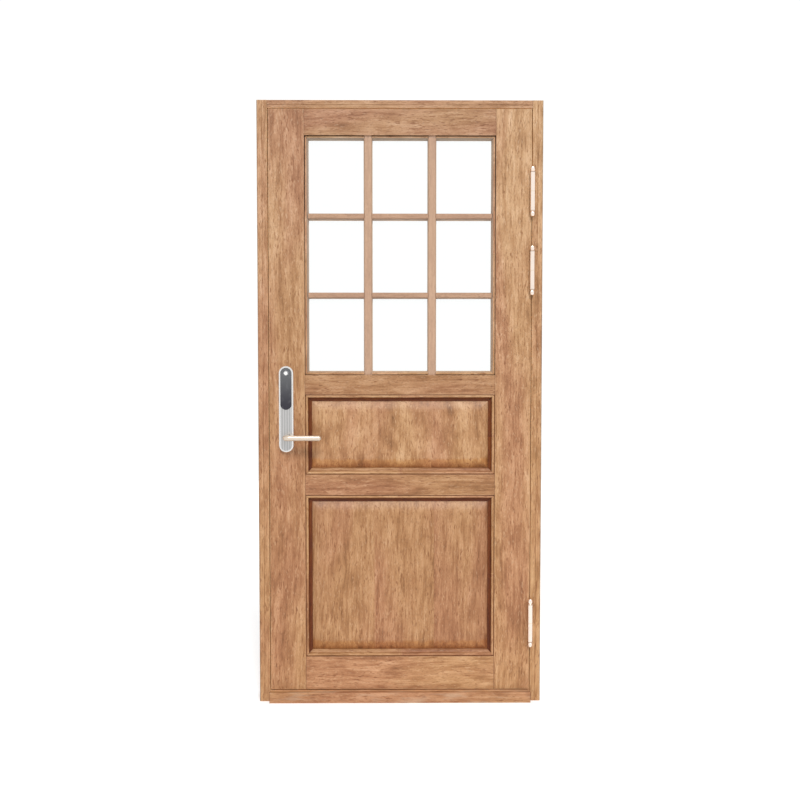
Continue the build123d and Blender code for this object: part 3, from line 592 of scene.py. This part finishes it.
# Hinges
# Each hinge is a pair of turned steel knuckles on a pin, with let-in plates, plated and
# polished to a pale satin. The plates are held by countersunk screws.
HINGES = ("upper", "middle", "lower")
HINGE_RING = 0.066
RING_SHADOW = (0.42, 0.34, 0.28)
PLATE_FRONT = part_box("hinge_stile")[0][1]
PLATE_DULLER = (0.66, 0.68, 0.70)


def hinge_middle(hinge):
    """Height of the joint between the two knuckles of a hinge."""
    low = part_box(f"{hinge}_hinge_frame_half")[0][2]
    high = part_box(f"{hinge}_hinge_leaf_half")[1][2]
    return (low + high) / 2


def satin_metal(name, slot, colour, roughness, lines=(900.0, 900.0, 30.0)):
    """Pale brushed metal with faint rub marks."""
    finish = Finish(name, slot)
    place = finish.place()
    brush = finish.noise(place, lines, 2.0)
    marks = finish.noise(place, (45.0, 45.0, 45.0), 4.0)
    worn = finish.step(marks, 0.50, 0.72)
    shade = finish.mix(worn * 0.30, colour, tuple(part * 0.78 for part in colour))
    shade = finish.tint(finish.step(brush, 0.35, 0.65) * 0.12, shade, (0.80, 0.80, 0.80))
    finish.close({"Base Color": shade, "Roughness": roughness + brush * 0.10 + worn * 0.08,
                  "Normal": finish.bump(brush, 0.00003)}, {"Metallic": 1.0})
    return finish


hinge_steel = satin_metal("hinge_steel", "hinge_steel", (0.93, 0.80, 0.70), 0.12)
turned = hinge_steel.colour()
for hinge in HINGES:
    rise = hinge_steel.axis(hinge_steel.place(), "Z") - hinge_middle(hinge)
    ring = hinge_steel.step(abs(abs(rise) - HINGE_RING), 0.0016, 0.0008)
    turned = hinge_steel.tint(ring * 0.8, turned, RING_SHADOW)
depth = hinge_steel.axis(hinge_steel.place(), "Y")
plate = hinge_steel.step(depth, PLATE_FRONT - 0.001, PLATE_FRONT)
turned = hinge_steel.tint(plate * 0.9, turned, PLATE_DULLER)
hinge_steel.close({"Base Color": turned}, {})
for hinge in HINGES:
    for half in ("frame", "leaf"):
        wear(f"{hinge}_hinge_{half}_half", hinge_steel)

# Hinge washers
# A thin brass washer lies on the pin between the two knuckles of each hinge and takes the
# weight of the leaf.
WASHER_RADIUS = 0.0081
WASHER_BORE = 0.0044
WASHER_THICKNESS = 0.0009
FINIAL_RING_RADIUS = 0.0095
PIN_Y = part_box("upper_hinge_frame_half")[0][1] + FINIAL_RING_RADIUS
brass = satin_metal("washer_brass", "hinge_steel", (0.72, 0.56, 0.32), 0.30,
                    (500.0, 500.0, 500.0))
inward = WASHER_BORE / WASHER_RADIUS
for hinge in HINGES:
    washer = placed(bpy.ops.mesh.primitive_circle_add, vertices=48, radius=WASHER_RADIUS,
                    location=(GAP_MIDDLE, PIN_Y, hinge_middle(hinge) - WASHER_THICKNESS / 2))
    bpy.ops.mesh.extrude_edges_move()
    bpy.ops.transform.resize(value=(inward, inward, 1.0))
    bpy.ops.mesh.select_all(action="SELECT")
    bpy.ops.mesh.extrude_region_move(
        TRANSFORM_OT_translate={"value": (0.0, 0.0, WASHER_THICKNESS)})
    finished(washer, f"{hinge}_hinge_washer", "frame", brass)

# Hinge screws
# Three countersunk steel screws hold each hinge plate. The head is turned, its rim rounded
# and a cross recess struck in it.
SCREW_RADIUS = 0.0043
SCREW_HEIGHT = 0.0014
SCREW_PROUD = 0.0003
SCREW_RIM = 0.00025
RECESS_WIDTH = 0.0011
RECESS_LENGTH = 0.0050
RECESS_HEIGHT = 0.0012
screw_steel = satin_metal("screw_steel", "satin_steel", (0.70, 0.67, 0.63), 0.32,
                          (700.0, 700.0, 700.0))
screw = placed(bpy.ops.mesh.primitive_cylinder_add, vertices=40, radius=SCREW_RADIUS,
               depth=SCREW_HEIGHT, location=(0.0, 0.0, SCREW_PROUD - SCREW_HEIGHT / 2))
bpy.ops.mesh.select_all(action="DESELECT")
bpy.ops.mesh.select_mode(type="FACE")
mesh = bmesh.from_edit_mesh(screw.data)
for face in mesh.faces:
    face.select = face.normal.z > 0.9
bmesh.update_edit_mesh(screw.data)
bpy.ops.mesh.bevel(offset=SCREW_RIM, segments=3)
bpy.ops.object.mode_set(mode="OBJECT")
for along, across in ((RECESS_LENGTH, RECESS_WIDTH), (RECESS_WIDTH, RECESS_LENGTH)):
    slot = placed(bpy.ops.mesh.primitive_cube_add, size=1.0, location=(0.0, 0.0, SCREW_PROUD))
    bpy.ops.transform.resize(value=(along, across, RECESS_HEIGHT))
    bpy.ops.object.mode_set(mode="OBJECT")
    bpy.ops.object.select_all(action="DESELECT")
    screw.select_set(True)
    bpy.context.view_layer.objects.active = screw
    cut = screw.modifiers.new("recess", "BOOLEAN")
    cut.operation = "DIFFERENCE"
    cut.object = slot
    bpy.ops.object.modifier_apply(modifier="recess")
    bpy.data.objects.remove(slot)
bpy.ops.object.transform_apply(location=True, rotation=True, scale=True)


def drive(name, body, place, facing):
    """Puts a copy of the screw at a place, its head facing a direction."""
    copy = bpy.data.objects.new(name, screw.data.copy())
    bpy.context.collection.objects.link(copy)
    turn = Vector((0.0, 0.0, 1.0)).rotation_difference(Vector(facing)).to_matrix().to_4x4()
    copy.data.transform(Matrix.Translation(place) @ turn)
    dressed(copy, body, screw_steel)


LEAF_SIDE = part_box("hinge_stile")[1][0]
REBATE_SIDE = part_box("hinge_jamb")[0][0]
PLATE_SCREWS = ((0.012, -0.044), (0.020, 0.0), (0.012, 0.044))
for hinge in HINGES:
    for number, (depth, rise) in enumerate(PLATE_SCREWS):
        y, z = PLATE_FRONT + depth, hinge_middle(hinge) + rise
        drive(f"{hinge}_leaf_plate_screw_{number}", "leaf", (LEAF_SIDE, y, z), (1.0, 0.0, 0.0))
        drive(f"{hinge}_jamb_plate_screw_{number}", "frame", (REBATE_SIDE, y, z), (-1.0, 0.0, 0.0))

# Lock in the leaf's edge, and its strike
# The mortise lock is slid into the latch stile and held by two screws through its face
# plate. The strike is screwed to the jamb. Both are plain brushed stainless steel.
satin_steel = satin_metal("satin_steel", "satin_steel", (0.80, 0.77, 0.74), 0.28)
lock_tongue = satin_metal("lock_tongue", "satin_steel", (0.82, 0.80, 0.76), 0.18)
for name in ("lock_case", "strike_plate", "spindle"):
    wear(name, satin_steel)
TONGUE_SUNK = 0.0012
TONGUE_DEPTH = 0.0040
TONGUE_WIDTH = 0.0105
TONGUE_ROUNDING = 0.0006
FACE_PLATE_SCREW_RISE = 0.108
STRIKE_SCREW_RISE = 0.081
case_low, case_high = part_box("lock_case")
edge_x = case_low[0]
strike_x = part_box("strike_plate")[1][0]
lock_y = (case_low[1] + case_high[1]) / 2
lock_z = (case_low[2] + case_high[2]) / 2
for name, rise, height in (("latch_tongue", -0.036, 0.030), ("dead_bolt", 0.036, 0.042)):
    tongue = placed(bpy.ops.mesh.primitive_cube_add, size=1.0,
                    location=(edge_x + TONGUE_SUNK, lock_y, lock_z + rise))
    bpy.ops.transform.resize(value=(TONGUE_DEPTH, TONGUE_WIDTH, height))
    bpy.ops.mesh.bevel(offset=TONGUE_ROUNDING, segments=3)
    finished(tongue, name, "leaf", lock_tongue)
for number, side in enumerate((-1, 1)):
    drive(f"face_plate_screw_{number}", "leaf",
          (edge_x, lock_y, lock_z + side * FACE_PLATE_SCREW_RISE), (-1.0, 0.0, 0.0))
    drive(f"strike_screw_{number}", "frame",
          (strike_x, lock_y, lock_z + side * STRIKE_SCREW_RISE), (1.0, 0.0, 0.0))

# Backplates
# The outside plate is a stainless casting with a bright rim. The steel face in its lower half
# is pressed with fine upright ribs. The inside plate is plain.
BACKPLATE_SCREW_INSET = 0.016
RIB_HOLLOW_SHADE = (0.37, 0.365, 0.36)
RIB_CREST_LIGHT = (0.52, 0.512, 0.504)
RIB_RELIEF = 0.00022
wear("outside_backplate", satin_metal("rim_steel", "satin_steel", (0.78, 0.77, 0.76), 0.20))
wear("inside_backplate", satin_steel)
plate_low, plate_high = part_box("inside_backplate")
plate_x = (plate_low[0] + plate_high[0]) / 2
for number, z in enumerate((plate_low[2] + BACKPLATE_SCREW_INSET,
                            plate_high[2] - BACKPLATE_SCREW_INSET)):
    drive(f"backplate_screw_{number}", "leaf", (plate_x, plate_high[1], z), (0.0, 1.0, 0.0))
bpy.data.objects.remove(screw)
ribbed = Finish("ribbed_steel", "ribbed_steel")
rib = ribbed.node("ShaderNodeTexWave", {"wave_type": "BANDS", "bands_direction": "X"},
                  {"Vector": ribbed.place(), "Scale": 36.0, "Distortion": 0.6,
                   "Detail": 1.0, "Detail Scale": 3.0})
brush = ribbed.noise(ribbed.place(), (1800.0, 1800.0, 30.0), 2.0)
# Painted shade in the ribs' hollows and painted light on their crests.
ribbed.close({"Base Color": ribbed.mix(rib, RIB_HOLLOW_SHADE, RIB_CREST_LIGHT),
              "Roughness": 0.30 + brush * 0.15,
              "Normal": ribbed.bump(rib, RIB_RELIEF)}, {"Metallic": 1.0})
wear("backplate_insert", ribbed)

# Card reader and its button
# A glossy dark plastic cover is clipped into the top of the plate. The round button is
# white, in a speckled grey ring.
COVER_FOOT = (0.012, 0.010, 0.020)
COVER_TOP = (0.100, 0.103, 0.108)
COVER_SMEAR = (0.24, 0.24, 0.25)
cover = Finish("reader_gloss", "reader_gloss")
cover_low, cover_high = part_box("reader_cover")
rise = cover.step(cover.axis(cover.place(), "Z"), cover_low[2], cover_high[2])
smear = cover.noise(cover.place(), (90.0, 90.0, 60.0), 4.0)
cover_colour = cover.mix(rise, COVER_FOOT, COVER_TOP)
cover_colour = cover.mix(cover.step(smear, 0.50, 0.75) * 0.12, cover_colour, COVER_SMEAR)
cover.close({"Base Color": cover_colour, "Roughness": cover.step(smear, 0.45, 0.75, 0.08, 0.22)},
            {"Coat Weight": 0.25, "Coat Roughness": 0.05, "Specular IOR Level": 0.4})
wear("reader_cover", cover)

BUTTON_WHITE = (0.86, 0.85, 0.83)
RING_DARK = (0.10, 0.10, 0.11)
RING_LIGHT = (0.55, 0.55, 0.56)
RING_START = 0.64
RING_FULL = 0.70
button = Finish("button_white", "button_white")
button_low, button_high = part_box("reader_button")
button_radius = (button_high[0] - button_low[0]) / 2
across = button.axis(button.place(), "X") - (button_low[0] + button_high[0]) / 2
up = button.axis(button.place(), "Z") - (button_low[2] + button_high[2]) / 2
distance = across * across + up * up
ring = button.step(distance, (button_radius * RING_START) ** 2, (button_radius * RING_FULL) ** 2)
speck = button.step(button.noise(button.place(), (1500.0, 1500.0, 1500.0), 2.0), 0.48, 0.56)
speckled = button.mix(speck, RING_DARK, RING_LIGHT)
button.close({"Base Color": button.mix(ring, BUTTON_WHITE, speckled),
              "Roughness": 0.35 + speck * ring * 0.2}, {"Specular IOR Level": 0.5})
wear("reader_button", button)

# Levers
# Each lever is bent from round steel bar, domed at its end and brushed along its length. It
# is pushed on the square spindle from each side.
LEVER_METALLIC = 0.72
lever_steel = satin_metal("lever_steel", "satin_steel", (0.665, 0.57, 0.465), 0.26,
                          (30.0, 900.0, 900.0))
lever_steel.close({}, {"Metallic": LEVER_METALLIC})
for name in ("outside_lever", "inside_lever"):
    wear(name, lever_steel)

# Floor, lights and camera
# The door stands on a plain pale floor in a white room. A large soft light shines from above in
# front of it, and a weak one from behind. The camera stands nearly square on at chest height.
FLOOR_RADIUS = 6.0
FLOOR_DULL = (0.94, 0.94, 0.94)
FLOOR_CLEAN = (0.96, 0.96, 0.96)
FLOOR_GLOW = 0.12
bpy.ops.object.select_all(action="DESELECT")
bpy.ops.mesh.primitive_circle_add(vertices=96, radius=FLOOR_RADIUS, fill_type="NGON")
floor = bpy.context.object
floor.name = "studio_floor"
paint = Finish("floor_paint", "floor")
cloud = paint.noise(paint.place(), (1.5, 1.5, 1.5), 3.0)
paint.close({"Base Color": paint.mix(cloud, FLOOR_DULL, FLOOR_CLEAN)},
            {"Roughness": 0.9, "Specular IOR Level": 0.1, "Emission Color": (1.0, 1.0, 1.0, 1.0),
             "Emission Strength": FLOOR_GLOW})
floor.data.materials.append(paint.material)

for strength, softness, tilt, turn in ((2.5, 20, 44, 8), (0.9, 40, 75, 155)):
    bpy.ops.object.light_add(type="SUN")
    light = bpy.context.object
    light.data.energy = strength
    light.data.angle = radians(softness)
    light.rotation_euler = (radians(tilt), 0.0, radians(turn))

ROOM_SEEN = 1.05
ROOM_LIGHT = 0.5
world = bpy.data.worlds.new("white_room")
world.use_nodes = True
bpy.context.scene.world = world
background = world.node_tree.nodes["Background"]
background.inputs["Color"].default_value = (1.0, 1.0, 1.0, 1.0)
rays = world.node_tree.nodes.new("ShaderNodeLightPath")
soft = world.node_tree.nodes.new("ShaderNodeMapRange")
soft.inputs["To Min"].default_value = ROOM_SEEN
soft.inputs["To Max"].default_value = ROOM_LIGHT
world.node_tree.links.new(rays.outputs["Is Diffuse Ray"], soft.inputs["Value"])
world.node_tree.links.new(soft.outputs[0], background.inputs["Strength"])

CAMERA_PLACE = (-0.02196, -3.046, 1.18327)
CAMERA_DOWN = 2.24
CAMERA_TURN = -0.415
CAMERA_LENS = 38.69
CAMERA_SENSOR = 36.0
bpy.ops.object.camera_add()
camera = bpy.context.object
camera.location = CAMERA_PLACE
camera.rotation_euler = (radians(90 - CAMERA_DOWN), 0.0, radians(CAMERA_TURN))
camera.data.lens = CAMERA_LENS
camera.data.sensor_width = CAMERA_SENSOR
bpy.context.scene.camera = camera
bpy.context.scene.view_settings.view_transform = "Standard"
